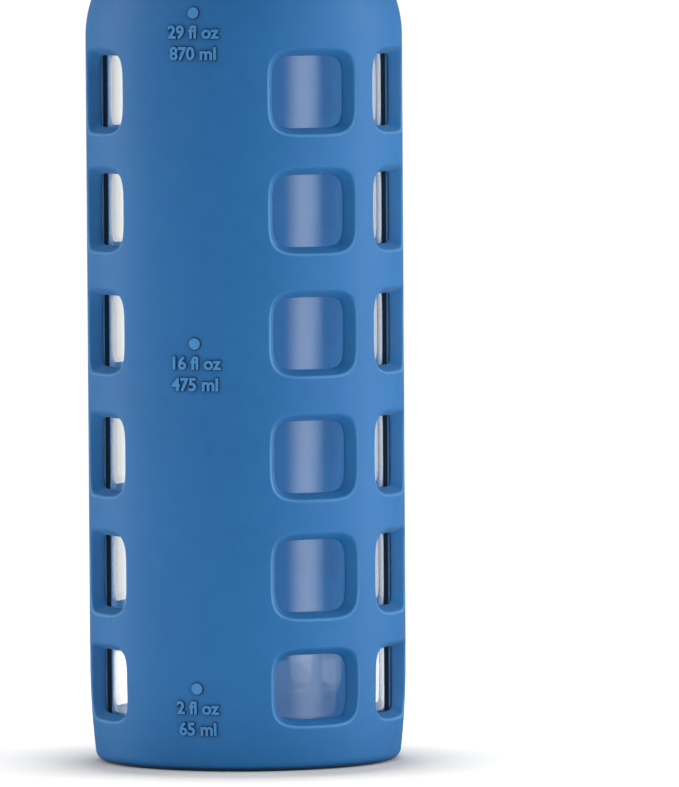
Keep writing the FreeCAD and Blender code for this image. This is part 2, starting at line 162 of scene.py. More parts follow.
def join_parts(parts):
    """One list of points and one of faces from several such pairs."""
    points, faces = [], []
    for more_points, more_faces in parts:
        start = len(points)
        points.extend(more_points)
        faces.extend(tuple(start + n for n in face) for face in more_faces)
    return points, faces


# --- Sleeve ---------------------------------------------------------------------------------------

def sleeve_outer_r(z):
    """Outside radius of the sleeve at a height."""
    if z < FOOT_CORNER:
        return FOOT_R - FOOT_CORNER + math.sqrt(FOOT_CORNER**2 - (FOOT_CORNER - z) ** 2)
    if z < FOOT_TAPER_TOP:
        return SLEEVE_R - (FOOT_TAPER_TOP - z) ** 2 / (2 * TAPER_CURVE)
    return SLEEVE_R


def sleeve_inner_r(z):
    """Inside radius of the sleeve at a height."""
    heel_top = SLEEVE_FLOOR + HEEL_R
    if z < heel_top:
        return SLEEVE_INNER_R - HEEL_R + math.sqrt(HEEL_R**2 - (heel_top - z) ** 2)
    return SLEEVE_INNER_R


def sleeve_point(angle, z, depth):
    """A point in the sleeve's wall: depth 0 is its outside and 1 its inside."""
    radius = sleeve_outer_r(z) * (1 - depth) + sleeve_inner_r(z) * depth
    return on_wall(radius, angle, z)


def border_walk():
    """Points round the square from (-1, -1) to (1, 1), at the mesh steps of a cell's border."""
    across = [-1 + 2 * i / STEPS_ACROSS for i in range(STEPS_ACROSS)]
    up = [-1 + 2 * i / STEPS_UP for i in range(STEPS_UP)]
    walk = [(u, -1) for u in across]
    walk += [(1, v) for v in up]
    walk += [(-u, 1) for u in across]
    walk += [(-1, -v) for v in up]
    return walk


def window_section():
    """A window's wall as (spread, depth): spread outwards from the opening, depth into the sleeve's wall."""
    slope = math.atan2(SLEEVE_WALL, FLARE)
    lip_start = FLARE + LIP_R * math.tan(slope / 2)
    section = []
    for i in range(LIP_STEPS + 1):
        turn = slope * i / LIP_STEPS
        section.append((lip_start - LIP_R * math.sin(turn), LIP_R * (1 - math.cos(turn)) / SLEEVE_WALL))
    below_lip_spread, below_lip_depth = section[-1]
    for share in WALL_RINGS:
        section.append((below_lip_spread * (1 - share), below_lip_depth + (1 - below_lip_depth) * share))
    section += [(share * FLARE, depth) for share, depth in INNER_EDGE]
    return section


def cell_faces(centre_angle, half_angle, low, high, centre_z, half_height):
    """Points and faces of one cell of the sleeve, with its window."""
    walk = border_walk()
    section = window_section()
    lip_spread = section[0][0]

    def window_spot(u, v, spread):
        share = min(1.0, spread / lip_spread)
        power = SQUARENESS_INNER + (SQUARENESS_OUTER - SQUARENESS_INNER) * share
        reach = (abs(u) ** power + abs(v) ** power) ** (-1 / power)
        angle = centre_angle + u * reach * (WINDOW_HALF_ANGLE + ANGLE_PER_FLARE * spread)
        z = centre_z + v * reach * (half_height + HEIGHT_PER_FLARE * spread)
        return angle, z

    def border_spot(u, v):
        return centre_angle + u * half_angle, low + (v + 1) / 2 * (high - low)

    def ring_between(share, spread, depth):
        """A ring part of the way from the cell's border to the window's edge."""
        ring = []
        for u, v in walk:
            (angle_a, z_a), (angle_b, z_b) = border_spot(u, v), window_spot(u, v, spread)
            ring.append(sleeve_point(angle_a + (angle_b - angle_a) * share, z_a + (z_b - z_a) * share, depth))
        return ring

    shares = [i / RING_STEPS for i in range(RING_STEPS)]
    inner_spread = section[-1][0]
    rings = [ring_between(share, lip_spread, 0) for share in shares]
    rings += [ring_between(1, spread, depth) for spread, depth in section]
    rings += [ring_between(share, inner_spread, 1) for share in reversed(shares)]
    return [spot for ring in rings for spot in ring], ring_faces(len(rings), len(walk))


def blank_faces(centre_angle, half_angle, low, high):
    """Points and faces of one plain cell, outside and inside."""
    points, faces = [], []
    for depth in (0, 1):
        start = len(points)
        for j in range(STEPS_UP + 1):
            for i in range(STEPS_ACROSS + 1):
                angle = centre_angle + (2 * i / STEPS_ACROSS - 1) * half_angle
                points.append(sleeve_point(angle, low + (high - low) * j / STEPS_UP, depth))
        row = STEPS_ACROSS + 1
        for j in range(STEPS_UP):
            for i in range(STEPS_ACROSS):
                a = start + j * row + i
                faces.append((a, a + 1, a + row + 1, a + row))
    return points, faces


def sleeve_top_outline():
    """Over the shoulder from the outside, round the rim, and back down the inside."""
    lip_deg = math.degrees(math.asin(SLEEVE_OVER_SHOULDER / SHOULDER_R))
    inner = SHOULDER_R - SLEEVE_WALL
    middle = SHOULDER_R - SLEEVE_WALL / 2
    rim_r = SHOULDER_CENTRE_R + middle * math.cos(math.radians(lip_deg))
    rim_z = SHOULDER_Z + middle * math.sin(math.radians(lip_deg))
    outline = arc(SHOULDER_CENTRE_R, SHOULDER_Z, SHOULDER_R, 0, lip_deg, SHOULDER_STEPS)
    outline += arc(rim_r, rim_z, SLEEVE_WALL / 2, lip_deg, lip_deg + 180, ROUND_STEPS)[1:-1]
    outline += arc(SHOULDER_CENTRE_R, SHOULDER_Z, inner, lip_deg, 0, SHOULDER_STEPS)
    return outline


def sleeve_foot_outline():
    """From the lowest cells' border down the outside, under the foot, up the hole and out along the floor."""
    outline = [(sleeve_outer_r(z), z) for z, _ in split_line((CELLS_BOTTOM, 0), (FOOT_CORNER, 0), 4)]
    outline += arc(FOOT_R - FOOT_CORNER, FOOT_CORNER, FOOT_CORNER, 0, -90, 8)
    hole_r = FOOT_HOLE_R + FOOT_HOLE_ROUND
    outline += split_line((FOOT_R - FOOT_CORNER, 0), (hole_r, 0), 6)[1:]
    outline += arc(hole_r, FOOT_HOLE_ROUND, FOOT_HOLE_ROUND, 270, 180, 5)
    outline += arc(hole_r, SLEEVE_FLOOR - FOOT_HOLE_ROUND, FOOT_HOLE_ROUND, 180, 90, 5)
    heel_r = SLEEVE_INNER_R - HEEL_R
    outline.append((heel_r, SLEEVE_FLOOR))
    heel_deg = -math.degrees(math.asin((SLEEVE_FLOOR + HEEL_R - CELLS_BOTTOM) / HEEL_R))
    outline += arc(heel_r, SLEEVE_FLOOR + HEEL_R, HEEL_R, -90, heel_deg, ROUND_STEPS)[1:]
    return outline


def build_sleeve(material):
    """Cells with and without windows, between the turned foot and the turned part over the shoulder."""
    columns = [(math.radians(degrees), math.radians(COLUMN_HALF_DEG)) for degrees in WINDOW_COLUMNS]
    first, last = WINDOW_COLUMNS[0], WINDOW_COLUMNS[2]
    blanks = [
        (0, math.radians(first - COLUMN_HALF_DEG)),
        (math.pi, math.radians(180 - last - COLUMN_HALF_DEG)),
    ]
    parts = []
    borders = [SHOULDER_Z]
    borders += [(upper + lower) / 2 for upper, lower in zip(ROW_HEIGHTS, ROW_HEIGHTS[1:])]
    borders.append(CELLS_BOTTOM)
    for row, centre_z in enumerate(ROW_HEIGHTS):
        high, low = borders[row], borders[row + 1]
        half_height = LOWEST_HALF_HEIGHT if row == len(ROW_HEIGHTS) - 1 else WINDOW_HALF_HEIGHT
        parts += [blank_faces(*blank, low, high) for blank in blanks]
        parts += [cell_faces(*column, low, high, centre_z, half_height) for column in columns]
    # The turned parts take their angles from the cells' borders, so that their points meet.
    angles = sorted(
        (centre + (2 * i / STEPS_ACROSS - 1) * half) % (2 * math.pi)
        for centre, half in blanks + columns for i in range(STEPS_ACROSS))
    parts += [lathe_mesh(outline, angles) for outline in (sleeve_top_outline(), sleeve_foot_outline())]
    sleeve = make_object("sleeve", *join_parts(parts), material)
    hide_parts("silicone_sleeve")
    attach(sleeve, "sleeve")


# --- Level marks ----------------------------------------------------------------------------------

MARKS = (                      # height of the dot, and the two lines under it
    (206.2 * MM, "29 fl oz", "870 ml"),
    (116.5 * MM, "16 fl oz", "475 ml"),
    (22.7 * MM, "2 fl oz", "65 ml"),
)
MARKS_TURN = math.radians(2)   # round from the middle of the panel
DOT_R = 1.65 * MM
DOT_ROUND = 0.2 * MM
DOT_STEPS = 32
DOT_RINGS = (0.7, 0.4, 0.0)    # where the dot's flat top has mesh rings, as shares of its radius
LINE_DROPS = (5.1 * MM, 10.9 * MM)
MARK_RAISE = 0.5 * MM
MARK_SINK = 0.3 * MM           # how far a mark reaches into the wall
LETTER_HEIGHT = 3.5 * MM
FONT_CAP = 0.729               # height of a capital in the built-in font, of a size of 1
FONT_DEPTH = 0.04              # half the lettering's thickness, its rounding and its added weight, likewise
FONT_BEVEL = 0.03
FONT_BOLDER = 0.02
FONT_SMOOTHNESS = 5            # mesh steps along a curve of a letter


def panel_point(across, z, lift):
    """A point on the level panel: across it, up it, and out of its surface."""
    if z > SHOULDER_Z:
        wall_r = SHOULDER_CENTRE_R + math.sqrt(SHOULDER_R**2 - (z - SHOULDER_Z) ** 2)
    else:
        wall_r = sleeve_outer_r(z)
    return on_wall(wall_r + lift, MARKS_TURN + across / SLEEVE_R, z)


def dot_mesh(height):
    """A raised round dot with a rounded edge, which follows the wall."""
    profile = [(DOT_R, -MARK_SINK)]
    profile += arc(DOT_R - DOT_ROUND, MARK_RAISE - DOT_ROUND, DOT_ROUND, 0, 90, 4)
    profile += [(DOT_R * share, MARK_RAISE) for share in DOT_RINGS]
    points = []
    for rho, lift in profile:
        for turn in even_angles(DOT_STEPS):
            points.append(panel_point(rho * math.cos(turn), height + rho * math.sin(turn), lift))
    return points, ring_faces(len(profile), DOT_STEPS)


def line_mesh(words, centre_z):
    """One line of raised lettering, bent round the panel."""
    data = bpy.data.curves.new("lettering", "FONT")
    data.body = words
    data.align_x = "CENTER"
    data.extrude = FONT_DEPTH
    data.bevel_depth = FONT_BEVEL
    data.offset = FONT_BOLDER
    data.resolution_u = FONT_SMOOTHNESS
    flat = bpy.data.objects.new("lettering", data)
    bpy.context.scene.collection.objects.link(flat)
    mesh = bpy.data.meshes.new_from_object(flat.evaluated_get(bpy.context.evaluated_depsgraph_get()))
    size = LETTER_HEIGHT / FONT_CAP
    half_depth = FONT_DEPTH + FONT_BEVEL
    points = []
    for vertex in mesh.vertices:
        x, y, out = vertex.co
        lift = (out + half_depth) / (2 * half_depth) * (MARK_RAISE + MARK_SINK) - MARK_SINK
        points.append(panel_point(x * size, centre_z + (y - FONT_CAP / 2) * size, lift))
    faces = [tuple(polygon.vertices) for polygon in mesh.polygons]
    bpy.data.objects.remove(flat)
    return points, faces


def build_marks(material):
    """Three raised dots on the level panel, each over its volume in two units."""
    parts = []
    for height, *lines in MARKS:
        parts.append(dot_mesh(height))
        parts += [line_mesh(words, height - drop) for words, drop in zip(lines, LINE_DROPS)]
    marks = make_object("level_marks", *join_parts(parts), material, smooth=False)
    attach(marks, "sleeve")


# --- Glass ----------------------------------------------------------------------------------------

GLASS_WALL = 2.0 * MM
GLASS_FLOOR = 4.5 * MM
INNER_HEEL_R = 7.0 * MM
PUNT_R = 26.0 * MM
PUNT_DEPTH = 2.2 * MM
NECK_R = 20.0 * MM
NECK_WALL = 2.8 * MM
NECK_FILLET = 4.0 * MM
BEAD_R = 22.4 * MM
BEAD_HALF = 1.2 * MM
BEAD_Z = 232.9 * MM
RIM_ROUND = 1.0 * MM
THREAD_STARTS = 2
THREAD_LEAD = 12.0 * MM
THREAD_HEIGHT = 1.5 * MM
THREAD_ROOT_HALF = 1.2 * MM
THREAD_CREST_HALF = 0.6 * MM
THREAD_LOW_Z = 237.2 * MM
THREAD_TURNS = 0.62
THREAD_START_ANGLE = math.radians(90)           # round from the level panel
THREAD_FADE = math.radians(14)
TURN_STEPS = 240               # mesh steps round the glass, up its walls, over its shoulder and up the thread
WALL_STEPS = 12
GLASS_SHOULDER_STEPS = 24
THREAD_RINGS = 64
BORE_FILLET = NECK_FILLET + GLASS_WALL


def thread_height(angle, z):
    """How far the thread's ridges stand out of the neck at an angle and height, with ends that fade out."""
    highest = 0.0
    span = 2 * math.pi * THREAD_TURNS
    for first in even_angles(THREAD_STARTS):
        along = (angle - first) % (2 * math.pi)
        centre = THREAD_LOW_Z + THREAD_LEAD * along / (2 * math.pi)
        if along > span:
            continue
        fade = min(1.0, along / THREAD_FADE, (span - along) / THREAD_FADE)
        fade = math.sin(fade * math.pi / 2)
        off = abs(z - centre)
        slope = (off - THREAD_CREST_HALF) / (THREAD_ROOT_HALF - THREAD_CREST_HALF)
        share = min(1.0, max(0.0, 1 - slope))
        share = share * share * (3 - 2 * share)
        highest = max(highest, THREAD_HEIGHT * share * fade)
    return highest


def shoulder_touch(shoulder_r, neck_r, fillet):
    """Where a shoulder arc meets the hollow fillet into the neck: touch angle, fillet centre."""
    across = neck_r + fillet - SHOULDER_CENTRE_R
    rise = math.sqrt((shoulder_r + fillet) ** 2 - across**2)
    touch_deg = math.degrees(math.atan2(rise, across))
    return touch_deg, SHOULDER_CENTRE_R + across, SHOULDER_Z + rise


def build_glass(material):
    """The bottle's whole wall as one turned outline, with the thread pulled out of its neck."""
    outer_shoulder = GLASS_R - SHOULDER_CENTRE_R
    touch, fillet_r, fillet_z = shoulder_touch(outer_shoulder, NECK_R, NECK_FILLET)
    bore_r = NECK_R - NECK_WALL
    inner_shoulder = outer_shoulder - GLASS_WALL
    inner_touch, inner_fillet_r, inner_fillet_z = shoulder_touch(inner_shoulder, bore_r, BORE_FILLET)
    foot = GLASS_LOW.z
    floor_z = foot + GLASS_FLOOR
    punt_ball = (PUNT_R**2 + PUNT_DEPTH**2) / (2 * PUNT_DEPTH)
    punt_deg = math.degrees(math.asin(PUNT_R / punt_ball))
    bead_r = BEAD_R - BEAD_HALF
    outline = [(0, foot + PUNT_DEPTH)]
    outline += arc(0, foot + PUNT_DEPTH - punt_ball, punt_ball, 90, 90 - punt_deg, WALL_STEPS)[1:]
    outline += arc(GLASS_R - HEEL_R, foot + HEEL_R, HEEL_R, -90, 0, ROUND_STEPS)
    outline += split_line((GLASS_R, foot + HEEL_R), (GLASS_R, SHOULDER_Z), WALL_STEPS)[1:]
    outline += arc(SHOULDER_CENTRE_R, SHOULDER_Z, outer_shoulder, 0, touch, GLASS_SHOULDER_STEPS)
    outline += arc(fillet_r, fillet_z, NECK_FILLET, touch + 180, 180, ROUND_STEPS)[1:]
    outline += arc(bead_r, BEAD_Z, BEAD_HALF, -90, 90, ROUND_STEPS)
    first_thread_ring = len(outline)
    thread_low = BEAD_Z + BEAD_HALF
    thread_high = RIM_Z - RIM_ROUND
    outline += split_line((NECK_R, thread_low), (NECK_R, thread_high), THREAD_RINGS)
    last_thread_ring = len(outline)
    outline += arc(NECK_R - RIM_ROUND, RIM_Z - RIM_ROUND, RIM_ROUND, 0, 90, 6)
    outline += arc(bore_r + RIM_ROUND, RIM_Z - RIM_ROUND, RIM_ROUND, 90, 180, 6)
    outline += arc(inner_fillet_r, inner_fillet_z, BORE_FILLET, 180, inner_touch + 180, ROUND_STEPS)
    outline += arc(SHOULDER_CENTRE_R, SHOULDER_Z, inner_shoulder, inner_touch, 0, GLASS_SHOULDER_STEPS)[1:]
    inside_r = GLASS_R - GLASS_WALL
    heel_r = inside_r - INNER_HEEL_R
    outline += split_line((inside_r, SHOULDER_Z), (inside_r, floor_z + INNER_HEEL_R), WALL_STEPS)[1:]
    outline += arc(heel_r, floor_z + INNER_HEEL_R, INNER_HEEL_R, 0, -90, ROUND_STEPS)
    outline += split_line((heel_r, floor_z), (0, floor_z), 8)[1:]
    outline.append((0, floor_z))

    def threaded(r, z, angle, index):
        if first_thread_ring < index < last_thread_ring:
            return r + thread_height(angle - THREAD_START_ANGLE, z)
        return r

    glass = make_object("glass", *lathe_mesh(outline, even_angles(TURN_STEPS), threaded), material)
    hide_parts("glass_bottle")
    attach(glass, "bottle")


# --- Lid ------------------------------------------------------------------------------------------

SHELL_R = SHELL_HIGH.x
SHELL_INNER_R = 24.35 * MM
SHELL_ROOF = 2.2 * MM
SHELL_EDGE_ROUND = 2.5 * MM
SHELL_SKIRT_ROUND = 0.8 * MM
SHELL_LIP_ROUND = 0.5 * MM
TOP_DISH_R = 22.5 * MM         # the top sinks a little inside this
TOP_DISH_DEPTH = 0.35 * MM
DISH_RINGS = (0, 0.3, 0.6, 0.85, 0.96)          # as shares of the dish's radius
DISH_LIP = ((0.985, 0.3), (1.005, 1.0))         # how it rises at its edge, as shares of its radius and depth
BELOW_EDGE = 0.3 * MM          # where the straight side's first mesh ring lies under the rounded edge
FLUTES = 40
FLUTE_R = 1.3 * MM
FLUTE_DEPTH = 0.6 * MM
FLUTE_ENDS = (237.4 * MM, 250.6 * MM)
FLUTE_FADE = 1.6 * MM
FLUTE_STEPS = 12               # mesh steps round the lid for each flute
SIDE_STEPS = (4, 8, 6, 8)      # mesh steps above the flutes, in their upper ends, along them, in the lower
BOSS_INNER_X = 16.4 * MM
BOSS_HALF_WIDTH = 4.5 * MM
BOSS_GAP = 0.05 * MM           # between a boss and the threaded core below it
BOSS_ROUND = 0.6 * MM
BOSS_INTO_WALL = 0.5 * MM


def flute_depth(angle, z):
    """How far the grip flutes cut into the lid's side; each one fades out at its ends."""
    low, high = FLUTE_ENDS
    inside = min(z - low, high - z) / FLUTE_FADE
    if inside <= 0:
        return 0.0
    pitch = 2 * math.pi / FLUTES
    off = SHELL_R * (angle % pitch - pitch / 2)
    if abs(off) >= FLUTE_R:
        return 0.0
    cut = math.sqrt(FLUTE_R**2 - off**2) - (FLUTE_R - FLUTE_DEPTH)
    return max(0.0, cut) * math.sqrt(1 - (1 - min(1.0, inside)) ** 2)


def rounded_block(low, high, radius):
    """Points and faces of a block with rounded edges."""
    work = bmesh.new()
    bmesh.ops.create_cube(work, size=1)
    for vertex in work.verts:
        for axis in range(3):
            vertex.co[axis] = low[axis] if vertex.co[axis] < 0 else high[axis]
    bmesh.ops.bevel(work, geom=list(work.edges), offset=radius, segments=4, profile=0.5, affect="EDGES")
    work.verts.ensure_lookup_table()
    points = [tuple(vertex.co) for vertex in work.verts]
    faces = [tuple(vertex.index for vertex in face.verts) for face in work.faces]
    work.free()
    return points, faces


def lid_cover_outline():
    """From the middle of the top, down the fluted side, under the skirt and up to the roof's underside."""
    top = SHELL_HIGH.z
    bottom = SHELL_LOW.z
    roof = top - SHELL_ROOF
    low, high = FLUTE_ENDS
    edge_r = SHELL_R - SHELL_EDGE_ROUND
    dished = top - TOP_DISH_DEPTH
    outline = [(TOP_DISH_R * share, dished) for share in DISH_RINGS]
    outline += [(TOP_DISH_R * across, dished + TOP_DISH_DEPTH * up) for across, up in DISH_LIP]
    outline += arc(edge_r, top - SHELL_EDGE_ROUND, SHELL_EDGE_ROUND, 90, 0, ROUND_STEPS)
    side = (top - SHELL_EDGE_ROUND - BELOW_EDGE, high, high - FLUTE_FADE, low + FLUTE_FADE, low)
    for start_z, end_z, steps in zip(side, side[1:], SIDE_STEPS):
        outline += split_line((SHELL_R, start_z), (SHELL_R, end_z), steps)
    outline.append((SHELL_R, low))
    outline += arc(SHELL_R - SHELL_SKIRT_ROUND, bottom + SHELL_SKIRT_ROUND, SHELL_SKIRT_ROUND, 0, -90, 6)
    outline += arc(SHELL_INNER_R + SHELL_LIP_ROUND, bottom + SHELL_LIP_ROUND, SHELL_LIP_ROUND, 270, 180, 4)
    outline += split_line((SHELL_INNER_R, bottom + SHELL_LIP_ROUND), (SHELL_INNER_R, roof), 5)[1:]
    outline += [(SHELL_INNER_R, roof), (SHELL_INNER_R / 2, roof), (0, roof)]
    return outline


def build_lid_cover(material):
    """The lid's fluted outer cover, with the two blocks inside that hold the handle's pins."""
    def fluted(r, z, angle, index):
        return r - flute_depth(angle, z) if math.isclose(r, SHELL_R) else r

    parts = [lathe_mesh(lid_cover_outline(), even_angles(FLUTES * FLUTE_STEPS), fluted)]
    for side in (1, -1):
        ends = sorted((side * BOSS_INNER_X, side * (SHELL_INNER_R + BOSS_INTO_WALL)))
        low = (ends[0], -BOSS_HALF_WIDTH, CORE_TOP + BOSS_GAP)
        high = (ends[1], BOSS_HALF_WIDTH, SHELL_HIGH.z - SHELL_ROOF / 2)
        parts.append(rounded_block(low, high, BOSS_ROUND))
    cover = make_object("lid_cover", *join_parts(parts), material)
    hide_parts("lid_shell")
    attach(cover, "lid")


# --- Shader helpers -------------------------------------------------------------------------------

def linear(red, green, blue):
    """A 0-255 display colour as the linear values that shaders use."""
    def one(value):
        share = value / 255
        return share / 12.92 if share <= 0.04045 else ((share + 0.055) / 1.055) ** 2.4
    return (one(red), one(green), one(blue))


NOISE_SPAN = (0.25, 0.75)      # most of a noise's values lie between these
EDGE_MATCH = (0.995, 0.88)     # how well a rounded normal agrees with the true one, from open surface to edge


class Nodes:
    """A short way to add and join the shader nodes of a light, a world or a material."""

    def __init__(self, owner):
        owner.use_nodes = True
        self.tree = owner.node_tree

    def feed(self, socket, source):
        """Joins a socket to another node's output, or gives it a plain value."""
        if isinstance(source, bpy.types.NodeSocket):
            self.tree.links.new(source, socket)
        elif socket.type == "RGBA":
            socket.default_value = (*source, 1)
        else:
            socket.default_value = source

    def add(self, kind, *sources, **named):
        """A new node. The named values are settings or inputs, and the sources go to its inputs in order."""
        node = self.tree.nodes.new(kind)
        for name, value in named.items():
            label = name.replace("_", " ")
            if label in node.inputs:
                self.feed(node.inputs[label], value)
            else:
                setattr(node, name, value)
        for socket, source in zip(node.inputs, sources):
            self.feed(socket, source)
        return node

    def maths(self, operation, *sources):
        return self.add("ShaderNodeMath", *sources, operation=operation).outputs[0]

    def vectors(self, operation, *sources):
        node = self.add("ShaderNodeVectorMath", *sources, operation=operation)
        return node.outputs["Vector" if operation in ("MULTIPLY", "NORMALIZE") else "Value"]

    def times(self, *factors):
        product = factors[0]
        for factor in factors[1:]:
            product = self.maths("MULTIPLY", product, factor)
        return product

    def part(self, vector, axis):
        return self.add("ShaderNodeSeparateXYZ", vector).outputs[axis]

    def spread(self, source, start, end, low=0.0, high=1.0, kind="LINEAR"):
        """Takes a value from start-end over to low-high, and holds it at the ends."""
        node = self.add("ShaderNodeMapRange", source, start, end, low, high, interpolation_type=kind)
        return node.outputs["Result"]

    def band(self, source, rise, fall):
        """1 inside a band of values and 0 outside. Each side is given as where it is 0 and where it is 1."""
        sides = [self.spread(source, *side, kind="SMOOTHSTEP") for side in (rise, fall)]
        return self.times(*sides)

    def mix(self, factor, a, b, kind="RGBA"):
        """Blends two colours, or with kind FLOAT two values."""
        node = self.add("ShaderNodeMix", factor, data_type=kind)
        first, result = (6, 2) if kind == "RGBA" else (2, 0)
        self.feed(node.inputs[first], a)
        self.feed(node.inputs[first + 1], b)
        return node.outputs[result]

    def mix_shaders(self, factor, a, b):
        return self.add("ShaderNodeMixShader", factor, a, b).outputs[0]


class Surface(Nodes):
    """The nodes of a material, with textures that keep to the object."""

    def __init__(self, name):
        self.material = bpy.data.materials.new(name)
        super().__init__(self.material)
        self.shader = self.tree.nodes["Principled BSDF"]
        self.output = self.tree.nodes["Material Output"]
        self.place = self.add("ShaderNodeTexCoord").outputs["Object"]
        self.normal = self.add("ShaderNodeNewGeometry").outputs["Normal"]
        self.rays = self.add("ShaderNodeLightPath").outputs

    def noise(self, scale, detail=2.0, roughness=0.5, place=None):
        place = self.place if place is None else place
        return self.add("ShaderNodeTexNoise", Vector=place, Scale=scale, Detail=detail,
                        Roughness=roughness).outputs["Fac"]

    def ramp(self, noise, low, high):
        """Spreads a noise, whose values are mostly near the middle, over low to high."""
        return self.spread(noise, *NOISE_SPAN, low, high)

    def patches(self, low, high, *texture):
        """Noise between low and high; the texture is its scale, detail and roughness."""
        return self.ramp(self.noise(*texture), low, high)

    def bump(self, height, strength, distance, normal=None):
        node = self.add("ShaderNodeBump", Height=height, Strength=strength, Distance=distance)
        if normal is not None:
            self.feed(node.inputs["Normal"], normal)
        return node.outputs["Normal"]

    def set(self, **values):
        for name, value in values.items():
            self.feed(self.shader.inputs[name.replace("_", " ")], value)

    def from_axis(self):
        """The level way from the bottle's axis to a spot."""
        return self.vectors("MULTIPLY", self.place, (1, 1, 0))

    def axis_distance(self):
        """How far a spot is from the bottle's axis."""
        return self.vectors("LENGTH", self.from_axis())

    def facing_out(self):
        """1 where the surface faces straight away from the bottle's axis, and 0 where it faces sideways."""
        outwards = self.vectors("NORMALIZE", self.from_axis())
        return self.vectors("DOT_PRODUCT", outwards, self.normal)

    def behind_glass(self):
        """1 where the surface is seen through the glass, and 0 where it is seen directly."""
        return self.maths("MINIMUM", self.rays["Transmission Depth"], 1.0)

    def outward_edges(self, radius):
        """1 on outward edges and 0 on open surfaces, from how far a rounded normal is from the true one."""
        rounded = self.add("ShaderNodeBevel", samples=4, Radius=radius).outputs["Normal"]
        return self.spread(self.vectors("DOT_PRODUCT", rounded, self.normal), *EDGE_MATCH)


# --- Materials ------------------------------------------------------------------------------------

SLEEVE_BLUE = linear(20, 101, 167)
SLEEVE_MOTTLE = linear(23, 111, 178)
SLEEVE_CLOUD = linear(36, 120, 180)
# painted highlight on the windows' lower lips
SLEEVE_LIP_HIGHLIGHT = linear(92, 160, 212)
# painted shade in the sleeve's creases
SLEEVE_CREASE_SHADE = linear(10, 54, 98)
# tint of the painted glow inside the sleeve's wall
SLEEVE_GLOW_TINT = linear(76, 108, 142)
SLEEVE_SHEEN = linear(170, 205, 235)
MARK_TOPS = (linear(58, 136, 200), linear(70, 144, 206))
# painted shade down the marks' sides
MARK_SIDE_SHADE = linear(10, 48, 92)
LID_BLUES = (linear(28, 98, 156), linear(34, 108, 168), linear(96, 150, 196))      # plain, pale and worn
CORE_BLUES = (linear(40, 106, 158), linear(48, 116, 170), linear(110, 158, 196))
SEAL_MILKS = (linear(226, 230, 229), linear(238, 240, 238))
SEAL_DUST = linear(170, 168, 160)
STEELS = (linear(176, 176, 173), linear(206, 206, 203))
STEEL_SMUDGE = linear(158, 155, 149)
GLASS_TINGES = ((0.97, 0.99, 0.985), (0.985, 0.995, 0.99))
GLASS_SHADOW = (0.93, 0.96, 0.955)
# painted shade on glass seen edge-on
GLASS_PAINTED_DARK = (0.006, 0.012, 0.02)
PAPER = (0.84, 0.82, 0.79)
# painted shade on the paper under the bottle, seen through the glass
PAPER_PAINTED_SHADE = linear(30, 76, 122)

SILICONE_GRAIN = (3800, 2, 0.6)                 # scale, detail and roughness of a noise
SILICONE_GRAIN_DEPTH = 0.05 * MM
PAINTED_WALL_GLOW = 0.62
GLOW_TINT_SHARE = 0.6             # how far the painted glow takes its tint rather than the sleeve's colour
GLOW_HEIGHTS = (-30 * MM, 25 * MM)              # the glow comes in between these
CREASE_REACH = 1.6 * MM
CREASE_OPEN = (0.35, 0.97)     # open air round a spot, from full painted shade to none
LIP_TILT = ((0.52, 0.80), (1.0, 0.95))          # how far a lip with a painted highlight faces outwards, as a band
LIP_HIGHLIGHT_RISE = (-0.35, 0.05)      # how far a lip faces up, from no painted highlight to full
MARK_TOP_TILT = (0.75, 0.97)
EDGE_WEAR = 0.5 * MM           # how far from an edge the lid's plastic is rubbed
PIN_STRETCH = (0.04, 1, 1)     # draws the pins' brushed lines out along X
GLASS_DARK = ((0.68, 0.71), (0.85, 0.81))       # how far the glass turns from the eye where it is painted dark


def lip_highlight_mask(nodes):
    """1 on the windows' rounded outer edges, the only tilted faces at their heights: a painted highlight on
    the lips that face up.
    """
    height = nodes.part(nodes.place, "Z")
    middle = (SHOULDER_Z + CELLS_BOTTOM) / 2
    return nodes.times(
        nodes.band(nodes.facing_out(), *LIP_TILT),
        nodes.maths("COMPARE", height, middle, SHOULDER_Z - middle),
        nodes.spread(nodes.part(nodes.normal, "Z"), *LIP_HIGHLIGHT_RISE),    # the upper lips face down and get no painted highlight
        nodes.patches(0.35, 0.65, 80, 3),
    )


